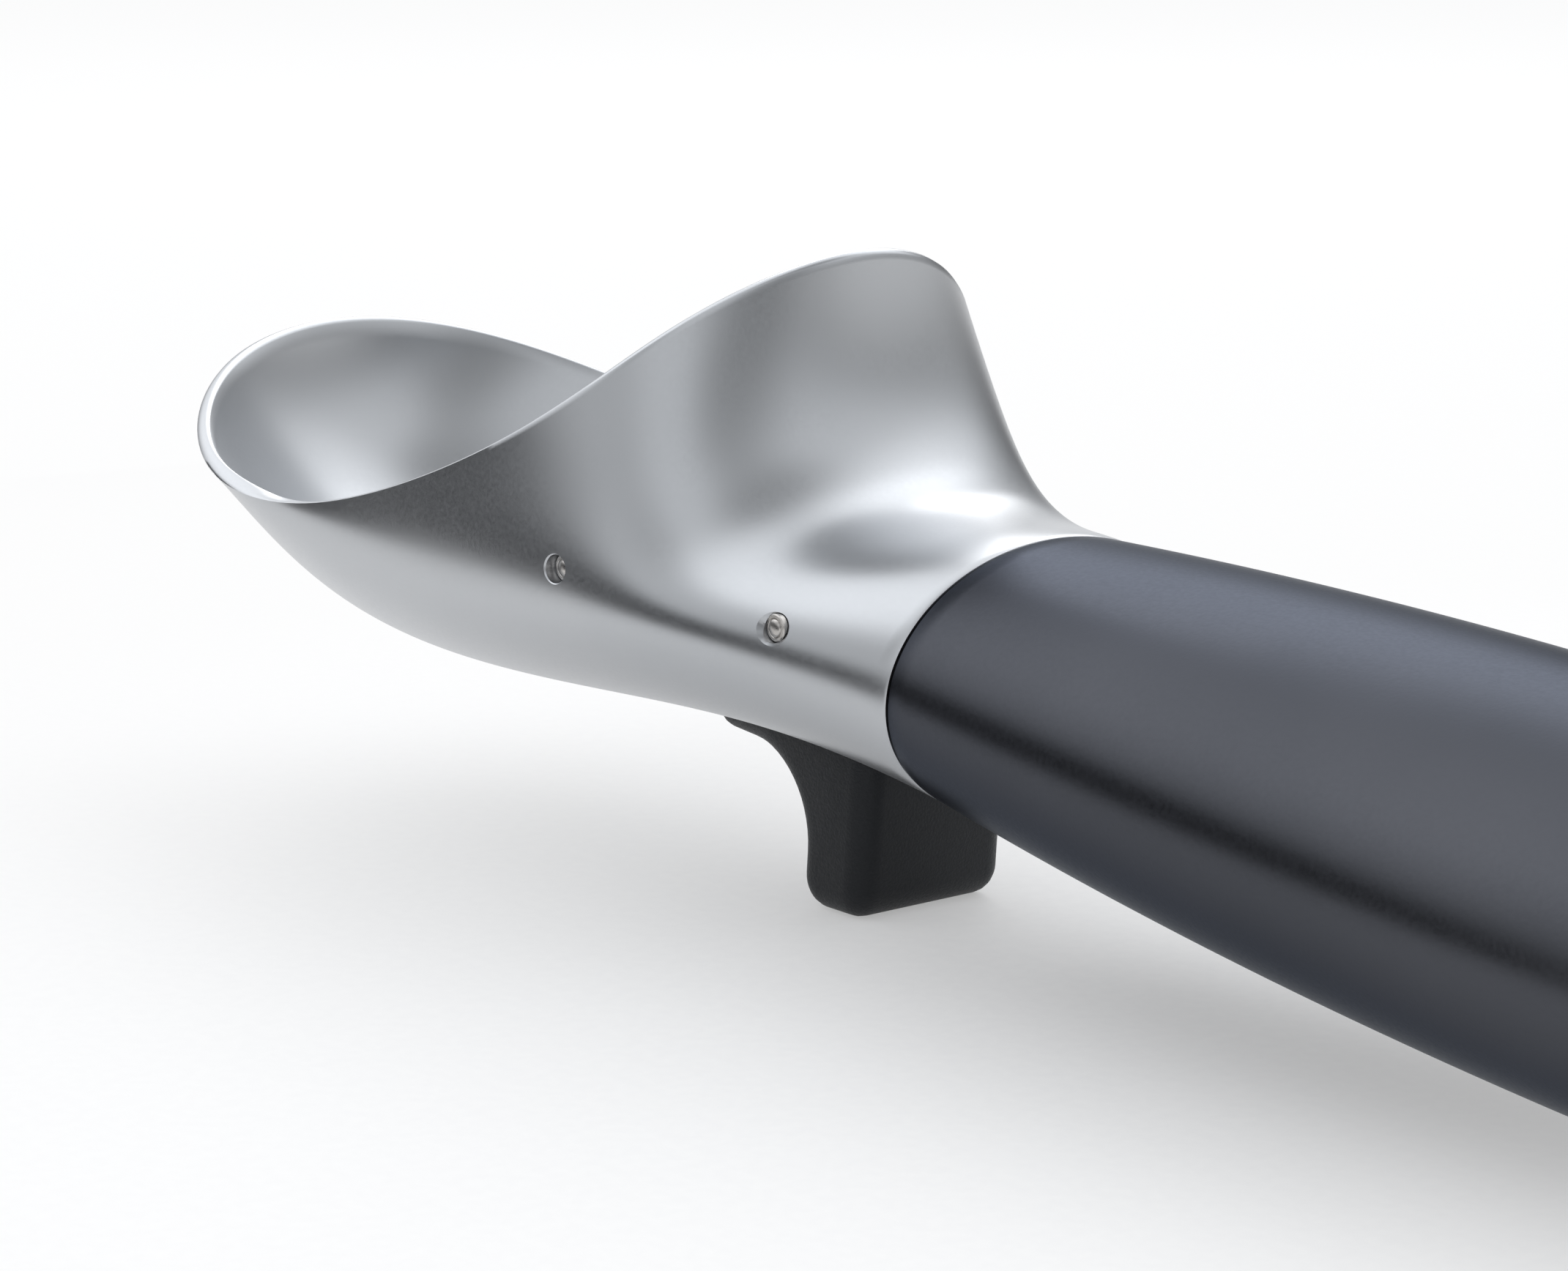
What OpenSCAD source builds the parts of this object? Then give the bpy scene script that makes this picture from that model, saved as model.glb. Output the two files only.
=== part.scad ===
// Ice cream scoop. A trigger under the neck turns a curved plate in the bowl,
// which lifts the ball out.
// Everything is drawn in the head's own frame: X forward from the seam between
// handle and head, Y to the left, Z up from the handle's axis. The whole scoop is
// then tipped until it rests on the trigger's foot and the end of the handle.
// Points are [forward, sideways, up].

/* [Rest] */
// Slope of the handle when the scoop lies on a table, degrees
rest_tilt = 4.8; // [4:0.1:6]

/* [Seam] */
// Width of the oval seam between head and handle
seam_w = 29; // [28:0.5:32]
// Height of the oval seam
seam_h = 20; // [20:0.5:22]

/* [Head] */
// Thickness of the metal
wall = 1.2; // [1:0.1:1.5]
// Rim at the top of the back
rim_top = [19, 0, 28]; // [0:0.5:120]
// Rim beside the top of the back
rim_shoulder = [25.5, 13.5, 22.5]; // [0:0.5:120]
// Rim where it runs down the side
rim_flank = [33, 21, 12.5]; // [0:0.5:120]
// Rim above the middle of the bowl
rim_side = [59.5, 22.5, 0]; // [0:0.5:120]
// Rim at the widest place of the bowl
rim_wide = [74, 25.5, 0.5]; // [-5:0.5:120]
// Rim at the corner of the lip
rim_corner = [89, 15, 6]; // [0:0.5:120]
// Rim at the tip of the lip
rim_tip = [93, 0, 8.5]; // [0:0.5:120]
// Top, side and bottom of the ring that shapes the neck
neck_top = [9, 0, 9.5]; // [0:0.5:120]
neck_side = [18, 19, 1.5]; // [0:0.5:120]
neck_bottom = [21, 0, -6.5]; // [-40:0.5:120]
// Top, side and bottom of the ring that shapes the throat
throat_top = [18, 0, 5]; // [0:0.5:120]
throat_side = [29.5, 22, -1.5]; // [-5:0.5:120]
throat_bottom = [40.5, 0, -9]; // [-40:0.5:120]
// Top, side and bottom of the ring that shapes the belly of the bowl
belly_top = [20, 0, 15.5]; // [0:0.5:120]
belly_side = [36, 21, 2]; // [0:0.5:120]
belly_bottom = [87.5, 0, -28.5]; // [-40:0.5:120]
// Thickness of the flange inside the seam
flange_t = 1.6; // [1.4:0.1:2]

/* [Handle] */
// Length of the handle behind the seam
handle_l = 120; // [110:1:130]
// Distance from the seam to the thickest place
handle_belly_at = 58; // [54:1:62]
// Growth from the seam to the thickest place, as a share of the seam's size
handle_growth = 0.26; // [0.22:0.01:0.3]
// Length of the rounded end
handle_end = 14; // [12:1:18]

/* [Mechanism] */
// Distance of the trigger's pin from the seam
trigger_at = 10.1; // [9.9:0.1:10.4]
// Distance of the plate's rivets from the seam
ejector_at = 30.2; // [29.9:0.1:30.5]
// Height of both above the handle's axis
pivot_h = 3.1; // [2.9:0.1:3.3]
// Diameter of the pin and the rivets
pin_d = 2; // [1.8:0.1:2.2]
// Travel of the trigger, degrees
trigger_throw = 16; // [14:1:16]
// Turn of the plate for each degree of the trigger
throw_ratio = 2.45; // [2.3:0.05:2.45]
// Distance from the plate's rivets to the drive pin
tail_r = 6; // [5.8:0.1:6.2]

/* [Trigger] */
// Width of the black finger piece
grip_w = 14; // [12:0.5:15]
// Thickness from front to back
grip_t = 7.4; // [6.8:0.1:8]
// Distance of its back face from the seam
grip_back = 10.3; // [10:0.1:10.6]
// Distance of its front lip's end from the seam
lip_at = 26.2; // [25:0.1:26.4]
// Radius of the hollow under the lip
lip_r = 5.6; // [5:0.1:6]
// Depth of the lip's underside below the handle's axis
lip_z = 9.2; // [9:0.1:9.4]
// Rounding of the foot's corners
foot_r = 2.4; // [1.5:0.1:3]

/* [Plate] */
// Thickness of the lifting plate
plate_t = 1; // [0.8:0.1:1.2]
// Gap between the plate and the bowl
plate_gap = 0.5; // [0.4:0.1:0.7]
// Reach of the plate along the bowl, as a share from the seam to the lip
plate_reach = 0.64; // [0.6:0.01:0.66]

/* [Fits] */
// Gap all round a pin that turns
running = 0.05; // [0.03:0.01:0.1]
// Gap round a piece that is fixed in a hole
seat = 0.02; // [0.01:0.01:0.05]
// Gap between pieces that pass each other
pass = 0.3; // [0.3:0.05:0.4]

/* [Hidden] */
$fn = 48;

head_rows = 22;    // rows of facets from the seam to the rim
head_cols = 56;    // columns of facets round the head
handle_cols = 48;  // columns of facets round the handle
through = 60;      // length of a cut that passes through everything

pin_r = pin_d / 2;
trigger_pivot = [trigger_at, 0, pivot_h];
ejector_pivot = [ejector_at, 0, pivot_h];
ejector_throw = trigger_throw * throw_ratio;

// Shape of the head
function bezier(points, t) =
    len(points) == 1 ? points[0] :
    bezier([for (i = [0 : len(points) - 2]) points[i] * (1 - t) + points[i + 1] * t], t);

// A ring is an oval through its top, side and bottom points
function ring_point(ring, a) = let (
    top = ring[0], side = ring[1], bottom = ring[2],
    middle = (top + bottom) / 2,
    half = (top - bottom) / 2,
    c = cos(a), s = sin(a))
    [middle.x + s * half.x + c * c * (side.x - middle.x),
     c * side.y,
     middle.z + s * half.z + c * c * (side.z - middle.z)];

seam_ring = [[0, 0, seam_h / 2], [0, seam_w / 2, 0], [0, 0, -seam_h / 2]];
neck_ring = [neck_top, neck_side, neck_bottom];
throat_ring = [throat_top, throat_side, throat_bottom];
belly_ring = [belly_top, belly_side, belly_bottom];

// The rim is a smooth closed curve drawn by its points, mirrored left to right
rim_half = [rim_tip, rim_corner, rim_wide, rim_side, rim_flank, rim_shoulder, rim_top];
rim_points = concat(rim_half,
    [for (i = [5 : -1 : 1]) [rim_half[i].x, -rim_half[i].y, rim_half[i].z]]);

function rim_point(a) = let (
    n = len(rim_points),
    place = (a + 450) % 360 * n / 360,
    i = floor(place), t = place - i,
    p = [for (k = [-1 : 2]) rim_points[(i + k + n) % n]])
    (pow(1 - t, 3) * p[0]
     + (3 * pow(t, 3) - 6 * t * t + 4) * p[1]
     + (-3 * pow(t, 3) + 3 * t * t + 3 * t + 1) * p[2]
     + pow(t, 3) * p[3]) / 6;

// Outer skin: u runs from the seam (0) to the rim (1), a runs round, 90 is the top
function skin(u, a) = bezier([
    ring_point(seam_ring, a), ring_point(neck_ring, a), ring_point(throat_ring, a),
    ring_point(belly_ring, a), rim_point(a)], u);

function unit(v) = v / norm(v);
function outward(u, a) = unit(cross(
    skin(u, a + 1) - skin(u, a - 1),
    skin(u + 0.01, a) - skin(u - 0.01, a)));

// Point at a depth under the outer skin
function under(u, a, depth) = skin(u, a) - outward(u, a) * depth;

// Share u at which the line round at angle a, at that depth, crosses a plane
function cross_u(a, depth, at, facing, lo = 0, hi = 1, steps = 16) = let (mid = (lo + hi) / 2)
    steps == 0 ? mid :
    (under(mid, a, depth) - at) * facing < 0 ?
        cross_u(a, depth, at, facing, mid, hi, steps - 1) :
        cross_u(a, depth, at, facing, lo, mid, steps - 1);

function cross_point(a, depth, at, facing) = under(cross_u(a, depth, at, facing), a, depth);

// Distance from the middle to the side wall, at a place seen from the side
function wall_y(x, z, depth, lo = -80, hi = 80, steps = 12) = let (
    mid = (lo + hi) / 2,
    p = cross_point(mid, depth, [x, 0, 0], [1, 0, 0]))
    steps == 0 ? p.y :
    p.z < z ? wall_y(x, z, depth, mid, hi, steps - 1) : wall_y(x, z, depth, lo, mid, steps - 1);

// Least room between the side walls' insides for a round piece about a pivot, from the middle
function room(pivot, r) =
    min([for (b = [0 : 45 : 315]) wall_y(pivot.x + r * cos(b), pivot.z + r * sin(b), wall)]);

// Handle's profile
function handle_size(s) = 1 + handle_growth * (1 - pow(1 - s / handle_belly_at, 2));
handle_rows = concat(
    [for (s = [0 : 6 : handle_l - handle_end - 3]) [s, handle_size(s)]],
    [for (b = [0 : 15 : 75]) let (s = handle_l - handle_end + handle_end * sin(b))
        [s, handle_size(s) * cos(b)]]);

// Rest on the table
seam_z = max([for (r = handle_rows) r[0] * sin(rest_tilt) + r[1] * seam_h / 2 * cos(rest_tilt)]);
lip = skin(1, -90);
front_x = lip.x * cos(rest_tilt) - lip.z * sin(rest_tilt);
back_x = handle_l * cos(rest_tilt);
origin_x = (back_x - front_x) / 2;
function foot_z(x) = -(seam_z + x * sin(rest_tilt)) / cos(rest_tilt);

module at_rest() {
    translate([origin_x, 0, seam_z])
        rotate([0, -rest_tilt, 0])
            children();
}

// Closed surface through rows of points, each row a loop. The rows are capped by
// flat ends, by strips where a loop runs out and back, or joined into a ring
module skin_rows(rows, ends = "flat") {
    n = len(rows);
    m = len(rows[0]);
    last = ends == "joined" ? n - 1 : n - 2;
    sides = [for (i = [0 : last], j = [0 : m - 1]) let (
        a = i * m + j, b = i * m + (j + 1) % m,
        c = (i + 1) % n * m + j, d = (i + 1) % n * m + (j + 1) % m)
        each [[a, d, b], [a, c, d]]];
    flat = [[for (j = [0 : m - 1]) j],
            [for (j = [m - 1 : -1 : 0]) (n - 1) * m + j]];
    strips = [for (j = [0 : m / 2 - 2]) let (k = m - 1 - j, e = (n - 1) * m)
        each [[j, j + 1, k], [j + 1, k - 1, k],
              [e + j, e + k, e + j + 1], [e + j + 1, e + k, e + k - 1]]];
    caps = ends == "flat" ? flat : ends == "strips" ? strips : [];
    polyhedron([for (row = rows) each row], concat(sides, caps));
}

// Round bar along Y, centred on a point
module cross_bar(r, length) {
    rotate([90, 0, 0])
        cylinder(r = r, h = length, center = true);
}

// Ring along Y from y0 to y1, on both sides of the middle
module side_rings(outer_r, inner_r, y0, y1) {
    for (side = [-1, 1])
        translate([0, side * (y0 + y1) / 2, 0])
            difference() {
                cross_bar(outer_r, y1 - y0);
                cross_bar(inner_r, y1 - y0 + 1);
            }
}

// Round bar along X, from x0 to x1
module long_bar(r, x0, x1) {
    translate([x0, 0, 0])
        rotate([0, 90, 0])
            cylinder(r = r, h = x1 - x0);
}

// Flat shape drawn as [forward, up], made into a plate across Y
module side_plate(y0, y1) {
    translate([0, y1, 0])
        rotate([90, 0, 0])
            linear_extrude(y1 - y0)
                children();
}

module rounded_square(x0, x1, half_w, r) {
    translate([x0 + r, r - half_w])
        square([x1 - x0 - 2 * r, 2 * (half_w - r)]);
    translate([x0 + r, -half_w])
        square([x1 - x0 - 2 * r, 2 * half_w]);
    translate([x0, r - half_w])
        square([x1 - x0, 2 * (half_w - r)]);
    for (x = [x0 + r, x1 - r], y = [r - half_w, half_w - r])
        translate([x, y])
            circle(r);
}

// Replaces the corner of an outline by an arc
function round_corner(before, corner, after, r, steps = 6) = let (
    u = unit(before - corner), v = unit(after - corner),
    half = acos(u * v) / 2,
    centre = corner + unit(u + v) * r / sin(half),
    from = corner + u * r / tan(half) - centre,
    to = corner + v * r / tan(half) - centre,
    turn = 180 - 2 * half,
    way = from.x * to.y - from.y * to.x > 0 ? 1 : -1)
    [for (i = [0 : steps]) let (b = way * turn * i / steps)
        centre + [from.x * cos(b) - from.y * sin(b), from.x * sin(b) + from.y * cos(b)]];

// Joint between head and handle: a plug behind the flange, drawn into the handle
// by a bolt in a threaded insert and kept from turning by two dowels
seam_gap = 0.1;
flange_hole_r = 7.1;
plug_face = 5;
plug_half = [seam_w / 2 - wall - 0.5, seam_h / 2 - wall - 1];
spigot_r = flange_hole_r - 2 * running;
spigot_l = 13;
bolt_r = 2.5;
bolt_l = 32;
bolt_head_r = 4.2;
bolt_head_t = 2.2;
socket_r = 1.7;
socket_depth = 1.4;
washer_t = 0.8;
insert_r = 4;
insert_back = 28;
insert_l = 12;
dowel_r = 1.5;
dowel_l = 13;
dowel_y = plug_half.x - dowel_r - 1;
dowel_front = plug_face - 0.2;
bore_end = 0.3;    // room behind the end of a piece in a blind bore
seal_r = 0.75;

// Slot for the trigger in the underside of the neck, long enough for its swing
slot_back = grip_back - 4.1;
slot_front = lip_at + pass;
slot_half_w = grip_w / 2 + pass;
slot_r = 1;

// Lever: its hub turns on the pin, its fork holds the rollers of the drive pin
// and its blade carries the finger piece
roller_r = 1.7;
tail_half = 2.3;
arm_t = 2;
prong_w = 1.4;
arm_in = tail_half + pass;
arm_out = arm_in + arm_t;
arm_half = roller_r + pass + prong_w;
fork_end = ejector_at - trigger_at - tail_r - 0.2;
arm_l = fork_end + 2;
arm_root = fork_end - 3.2;
hub_r = 3.4;
hub_half = 5.8;
bush_r = 2;
bush_flange_r = 3;
bush_flange_t = 0.6;
blade_half = 2;
blade_x = [grip_back + 1.7, grip_back + 5.7];
blade_z = -17;
grip_top = -6.2;
blade_shoulder_z = grip_top + 0.2;
grip_front = grip_back + grip_t;
drive_pin_at = ejector_pivot
    + tail_r * [-cos(ejector_throw / 2), 0, sin(ejector_throw / 2)];

// Sleeves beside the lever, and the plate's ears with their washers and rivets
sleeve_r = 2;
sleeve_in = hub_half + bush_flange_t + 2 * running + pass / 2;
sleeve_out = room(trigger_pivot, sleeve_r) - pass;
ear_r = 4.2;
ear_t = 1.6;
washer_r = 2.6;
side_washer_t = 0.4;
ear_out = room(ejector_pivot, ear_r) - side_washer_t - 2 * running - 0.1;
ear_in = ear_out - ear_t;
pin_sink = 0.6;    // depth of the rivets' ends under the skin
dome_h = 0.2;      // rise of the rounded ends of pins

// Back wall of the lifting plate
back_wall_x = ejector_at - 1.4;
back_wall_t = 1.2;
back_wall_h = 6.6;
back_wall_half = ear_out - 1.8;
tongue_half_angle = 60;
tongue_front_angle = 66;
tail_eye_r = 2.5;
tail_root_h = 6.6;
weld = 0.3;        // overlap of parts of one piece that are made together

// Cover over the mechanism, and the rubber stop under it
cover_front = [back_wall_x - 1.2, 0, pivot_h + 7.7];
cover_tilt = 4;
cover_t = 1;
stop_x = [trigger_at + arm_l - 5, trigger_at + arm_l - 2.5];

// Spring round one sleeve
spring_turns = 3;
wire_r = 0.4;
coil_r = sleeve_r + 0.2 + wire_r;
coil_y = [room(trigger_pivot, coil_r + wire_r) - pass - wire_r, sleeve_in + wire_r + 0.15];
hook_x = arm_root - 2.8;
hook_z = -hook_x * tan(trigger_throw / 2) - arm_half / cos(trigger_throw / 2) - wire_r - pass;

function rim_edge(a) = under(1, a, wall / 2) + unit(skin(1, a) - skin(0.99, a)) * wall / 4;

module head_shell() {
    columns = [for (j = [0 : head_cols - 1]) j * 360 / head_cols];
    outer = [for (i = [0 : head_rows]) [for (a = columns) skin(i / head_rows, a)]];
    edge = [for (a = columns) rim_edge(a)];
    inner = [for (i = [head_rows : -1 : 3]) [for (a = columns) under(i / head_rows, a, wall)]];
    flange = [for (a = columns) cross_point(a, wall, [flange_t, 0, 0], [1, 0, 0])];
    hole = [for (x = [flange_t, 0])
        [for (a = columns) [x, flange_hole_r * cos(a), flange_hole_r * sin(a)]]];
    skin_rows(concat(outer, [edge], inner, [flange], hole), "joined");
}

module scoop_head() {
    color("silver")
        at_rest()
            difference() {
                head_shell();
                translate([0, 0, -through - 4])
                    linear_extrude(through)
                        rounded_square(slot_back, slot_front, slot_half_w, slot_r);
                for (pivot = [trigger_pivot, ejector_pivot])
                    translate(pivot)
                        cross_bar(pin_r + seat, through);
                for (side = [-1, 1])
                    translate([0, side * dowel_y, 0])
                        long_bar(dowel_r + seat, -1, flange_t + 1);
            }
}

// Turns the part's frame into the cover's, which slopes down to its front edge
module on_cover() {
    translate(cover_front)
        rotate([0, cover_tilt, 0])
            children();
}

module throat_cover() {
    along = [cos(cover_tilt), 0, -sin(cover_tilt)];
    facing = [sin(cover_tilt), 0, cos(cover_tilt)];
    edge = [for (a = [20 : 5 : 160]) cross_point(a, wall + pass, cover_front, facing)];
    color("gainsboro")
        at_rest()
            on_cover()
                intersection() {
                    translate([0, 0, -cover_t])
                        linear_extrude(cover_t)
                            polygon([for (p = edge) [(p - cover_front) * along, p.y]]);
                    translate([-40, -30, -5])
                        cube([40, 60, 10]);
                }
}

// Heights of the cover's underside and of the lever's arms at rest
function cover_under(x) = cover_front.z - (x - cover_front.x) * tan(cover_tilt) - cover_t / cos(cover_tilt);
function arm_top(x) = pivot_h + (x - trigger_at) * tan(trigger_throw / 2)
    + arm_half / cos(trigger_throw / 2);

module stop_bumper() {
    color("dimgray")
        at_rest()
            side_plate(-arm_out, arm_out)
                polygon([[stop_x[0], arm_top(stop_x[0]) + running],
                         [stop_x[1], arm_top(stop_x[1]) + running],
                         [stop_x[1], cover_under(stop_x[1]) - seat],
                         [stop_x[0], cover_under(stop_x[0]) - seat]]);
}

// Tongue of the plate: follows the bowl from the back wall to a rounded front
module tongue() {
    columns = [for (a = [-tongue_half_angle : 7.5 : tongue_half_angle]) a - 90];
    u_back = cross_u(-90, wall, [back_wall_x, 0, 0], [1, 0, 0]);
    rows = [for (i = [0 : 10]) concat(
        [for (a = columns) tongue_point(i / 10, a, wall + plate_gap + plate_t, u_back)],
        [for (j = [len(columns) - 1 : -1 : 0])
            tongue_point(i / 10, columns[j], wall + plate_gap, u_back)])];
    skin_rows([for (row = rows) [for (j = [len(row) - 1 : -1 : 0]) row[j]]], "strips");
}

function tongue_point(t, a, depth, u_back) = let (
    u0 = cross_u(a, depth, [back_wall_x + weld, 0, 0], [1, 0, 0]),
    u1 = u_back + (plate_reach - u_back) * sqrt(1 - pow((a + 90) / tongue_front_angle, 2)))
    under(u0 + (u1 - u0) * t, a, depth);

module back_wall_outline() {
    lower = [for (a = [-180 : 10 : 0])
        cross_point(a, wall + plate_gap, [back_wall_x, 0, 0], [1, 0, 0])];
    polygon(concat(
        [for (p = lower) [sign(p.y) * min(abs(p.y), ear_out), p.z]],
        [for (b = [0 : 15 : 180]) [
            back_wall_half * cos(b),
            pivot_h + 1 + (back_wall_h - 1) * sin(b)]]));
}

module tail_outline() {
    at = [drive_pin_at.x, drive_pin_at.z];
    translate(at)
        circle(tail_eye_r);
    polygon([at + [-1, tail_eye_r - 0.3], [back_wall_x + weld, at.y + tail_eye_r - 0.3],
             [back_wall_x + weld, pivot_h - tail_root_h], at - [0.6, tail_eye_r - 0.1]]);
}

module ejector_plate() {
    color("lightsteelblue")
        at_rest()
            difference() {
                union() {
                    tongue();
                    translate([back_wall_x, 0, 0])
                        rotate([90, 0, 90])
                            linear_extrude(back_wall_t)
                                back_wall_outline();
                    side_plate(-tail_half, tail_half)
                        tail_outline();
                    for (y = [[-ear_out, -ear_in], [ear_in, ear_out]])
                        side_plate(y[0], y[1])
                            translate([ejector_pivot.x, ejector_pivot.z])
                                circle(ear_r);
                }
                translate(drive_pin_at)
                    cross_bar(pin_r + seat, 2 * tail_half + 1);
                for (y = [-ear_out - 1, ear_in - 0.4])
                    side_plate(y, y + ear_t + 1.4)
                        translate([ejector_pivot.x, ejector_pivot.z])
                            circle(pin_r + running);
            }
}

// Rounded end of a pin that points sideways, made of two slopes
module pin_end(y, side) {
    translate([0, y, 0])
        rotate([-90 * side, 0, 0]) {
            cylinder(r1 = pin_r, r2 = 0.8 * pin_r, h = dome_h / 2);
            translate([0, 0, dome_h / 2])
                cylinder(r1 = 0.8 * pin_r, r2 = 0.4 * pin_r, h = dome_h / 2);
        }
}

module ejector_pins() {
    end = wall_y(ejector_at, pivot_h, 0) - pin_sink - dome_h;
    color("lightgray")
        at_rest()
            translate(ejector_pivot)
                for (side = [-1, 1]) {
                    translate([0, side * (end + ear_in) / 2, 0])
                        cross_bar(pin_r, end - ear_in);
                    pin_end(side * end, side);
                }
}

module ejector_washers() {
    color("white")
        at_rest()
            translate(ejector_pivot)
                side_rings(washer_r, pin_r + seat, ear_out + running,
                           ear_out + running + side_washer_t);
}

module drive_pin() {
    color("lightgray")
        at_rest()
            translate(drive_pin_at)
                cross_bar(pin_r, 2 * arm_out);
}

module drive_rollers() {
    color("ivory")
        at_rest()
            translate(drive_pin_at)
                side_rings(roller_r, pin_r + running, arm_in + 0.1, arm_out - 0.1);
}

// Arm of the lever, seen from the side, from the pivot to x
module arm_outline(x) {
    translate([trigger_pivot.x, trigger_pivot.z])
        rotate(trigger_throw / 2) {
            translate([0, -arm_half])
                square([x - arm_half, 2 * arm_half]);
            translate([x - arm_half, 0])
                circle(arm_half);
        }
}

module fork_slot_outline() {
    translate([trigger_pivot.x, trigger_pivot.z])
        rotate(trigger_throw / 2)
            translate([fork_end, 0]) {
                circle(roller_r + pass);
                translate([0, -roller_r - pass])
                    square([10, 2 * (roller_r + pass)]);
            }
}

module trigger_lever() {
    color("slategray")
        at_rest()
            difference() {
                union() {
                    translate(trigger_pivot)
                        cross_bar(hub_r, 2 * hub_half);
                    side_plate(-arm_out, arm_out)
                        arm_outline(arm_root + weld);
                    for (y = [-arm_out, arm_in])
                        side_plate(y, y + arm_out - arm_in)
                            arm_outline(arm_l);
                    side_plate(-blade_half, blade_half)
                        polygon([[trigger_at - hub_r + 1, pivot_h - 1],
                                 [blade_x[0], blade_shoulder_z], [blade_x[0], blade_z],
                                 [blade_x[1], blade_z], [blade_x[1], blade_shoulder_z],
                                 [trigger_at + arm_root - 3, pivot_h]]);
                }
                side_plate(-arm_out - 1, arm_out + 1)
                    fork_slot_outline();
                translate(trigger_pivot)
                    cross_bar(bush_r + seat, through);
            }
}

module grip_outline() {
    top_back = [grip_back, grip_top];
    foot_back = [grip_back, foot_z(grip_back)];
    foot_front = [grip_front, foot_z(grip_front)];
    hollow = [grip_front + lip_r, -lip_z - lip_r];
    polygon(concat(
        [top_back],
        round_corner(top_back, foot_back, foot_front, foot_r),
        round_corner(foot_back, foot_front, [grip_front, hollow.y], foot_r),
        [for (b = [180 : -7.5 : 90]) hollow + lip_r * [cos(b), sin(b)]],
        [[lip_at, -lip_z], [lip_at, grip_top]]));
}

module trigger_grip() {
    middle = grip_back + grip_t / 2;
    color("#22262b")
        at_rest()
            difference() {
                intersection() {
                    side_plate(-grip_w, grip_w)
                        grip_outline();
                    translate([middle, 0, foot_z(middle)])
                        rotate([0, rest_tilt - 90, 0])
                            linear_extrude(60, center = true)
                                rounded_square(0, 40, grip_w / 2, foot_r);
                    translate([0, 0, -40])
                        linear_extrude(60)
                            rounded_square(grip_back, grip_back + 40, grip_w / 2 + 0.1, 2);
                }
                side_plate(-blade_half - seat, blade_half + seat)
                    translate([blade_x[0] - seat, blade_z - seat])
                        square([blade_x[1] - blade_x[0] + 2 * seat, 20]);
            }
}

module trigger_bushes() {
    color("ivory")
        at_rest()
            translate(trigger_pivot) {
                side_rings(bush_r, pin_r + running, 0.5, hub_half + seat + 0.1);
                side_rings(bush_flange_r, pin_r + running, hub_half + seat,
                           hub_half + seat + bush_flange_t);
            }
}

module trigger_pin() {
    end = wall_y(trigger_at, pivot_h, 0) - dome_h;
    color("lightgray")
        at_rest()
            translate(trigger_pivot) {
                cross_bar(pin_r, 2 * end);
                for (side = [-1, 1])
                    pin_end(side * end, side);
            }
}

module spacer_sleeves() {
    color("white")
        at_rest()
            translate(trigger_pivot)
                side_rings(sleeve_r, pin_r + seat, sleeve_in, sleeve_out);
}

// Wire along a path, with its six corners set out from the side it is wound on
module wire(path, sides) {
    n = len(path);
    skin_rows([for (i = [0 : n - 1]) let (
        way = unit(path[min(i + 1, n - 1)] - path[max(i - 1, 0)]),
        across = unit(sides[i] - (sides[i] * way) * way),
        other = cross(way, across))
        [for (b = [0 : 60 : 300]) path[i] + wire_r * (across * cos(b) + other * sin(b))]]);
}

// The wire comes from the plug, turns round the sleeve and ends under the fork
module return_spring() {
    steps = [for (b = [0 : 30 : 360 * spring_turns]) b];
    coil = [for (b = steps) [
        coil_r * sin(b),
        coil_y[0] + (coil_y[1] - coil_y[0]) * b / 360 / spring_turns,
        -coil_r * cos(b)]];
    back_leg = [plug_face + pass - trigger_at, coil_y[0], -coil_r];
    bend = [hook_x - 0.6, coil_y[1], hook_z + 0.2];
    hook = [hook_x, arm_in, hook_z];
    down = [0, 0, -1];
    color("gray")
        at_rest()
            translate(trigger_pivot)
                wire(concat([back_leg], coil, [bend, hook]),
                     concat([down], [for (p = coil) [p.x, 0, p.z]], [down, down]));
}

module ellipse_outline(half) {
    polygon([for (b = [0 : 7.5 : 352.5]) [half.x * cos(b), half.y * sin(b)]]);
}

module neck_plug() {
    color("darkgray")
        at_rest()
            difference() {
                union() {
                    translate([flange_t + running, 0, 0])
                        rotate([90, 0, 90])
                            linear_extrude(plug_face - flange_t - running)
                                ellipse_outline(plug_half);
                    long_bar(spigot_r, -spigot_l, flange_t + 1);
                }
                long_bar(bolt_r + running, -spigot_l - 1, plug_face + 1);
                long_bar(bolt_head_r + running,
                         plug_face - bolt_head_t - washer_t - 2 * seat, plug_face + 1);
                for (side = [-1, 1])
                    translate([0, side * dowel_y, 0])
                        long_bar(dowel_r + seat, -1, plug_face + 1);
            }
}

module plug_seal() {
    color("black")
        at_rest()
            translate([-seal_r - seat, 0, 0])
                rotate([0, 90, 0])
                    rotate_extrude()
                        translate([spigot_r + seal_r + seat, 0])
                            circle(seal_r);
}

module tie_bolt() {
    color("lightgray")
        at_rest()
            difference() {
                union() {
                    long_bar(bolt_r, plug_face - bolt_head_t - bolt_l, plug_face - 1);
                    long_bar(bolt_head_r, plug_face - bolt_head_t, plug_face);
                }
                translate([plug_face - socket_depth, 0, 0])
                    rotate([0, 90, 0])
                        cylinder(r = socket_r, h = socket_depth + 1, $fn = 6);
            }
}

module lock_washer() {
    front = plug_face - bolt_head_t - seat;
    color("gray")
        at_rest()
            difference() {
                long_bar(bolt_head_r, front - washer_t, front);
                long_bar(bolt_r + running, front - washer_t - 1, front + 1);
            }
}

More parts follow.
